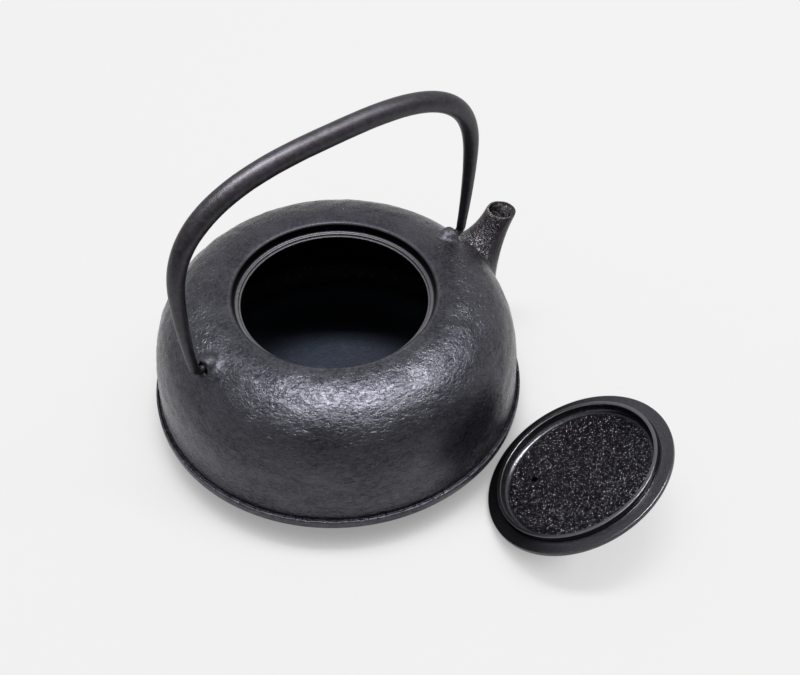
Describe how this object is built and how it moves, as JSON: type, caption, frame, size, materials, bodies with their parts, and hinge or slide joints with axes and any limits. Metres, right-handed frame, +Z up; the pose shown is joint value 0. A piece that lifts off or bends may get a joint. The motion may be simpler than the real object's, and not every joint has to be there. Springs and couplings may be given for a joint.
{
  "type": "cast iron kettle",
  "caption": "Low round cast iron kettle with a short spout, a swinging bail handle and a knobbed lid lying upside down beside it.",
  "frame": {"origin": "centre of the kettle's flat base, on the table", "axes": "+Z up, +X towards the spout; the ears and the upright handle stand in the XZ plane"},
  "size_m": [0.2113, 0.2659, 0.1789],
  "materials": {
    "body_iron": "dark lacquered casting with a fine wrinkled skin",
    "handle_iron": "smooth satin dark iron",
    "lid_iron": "dark satin rim with a coarse grainy underside",
    "knob_iron": "dark satin iron"
  },
  "bodies": {
    "kettle": {"kettle_body": "body_iron"},
    "handle": {"bail_handle": "handle_iron"},
    "lid_assembly": {"lid": "lid_iron", "lid_knob": "knob_iron"}
  },
  "joints": [
    {"name": "handle_swing", "type": "hinge", "parent": "kettle", "child": "handle", "pos_m": [0, 0, 0.0735], "axis": [1, 0, 0], "range_deg": [-97, 92]},
    {"name": "lid_turn", "type": "hinge", "parent": "kettle", "child": "lid_assembly", "pos_m": [0.0241, -0.05632, 0.03534], "axis": [-0.9381, -0.3362, -0.0836], "range_deg": [0, 151.75]}
  ]
}
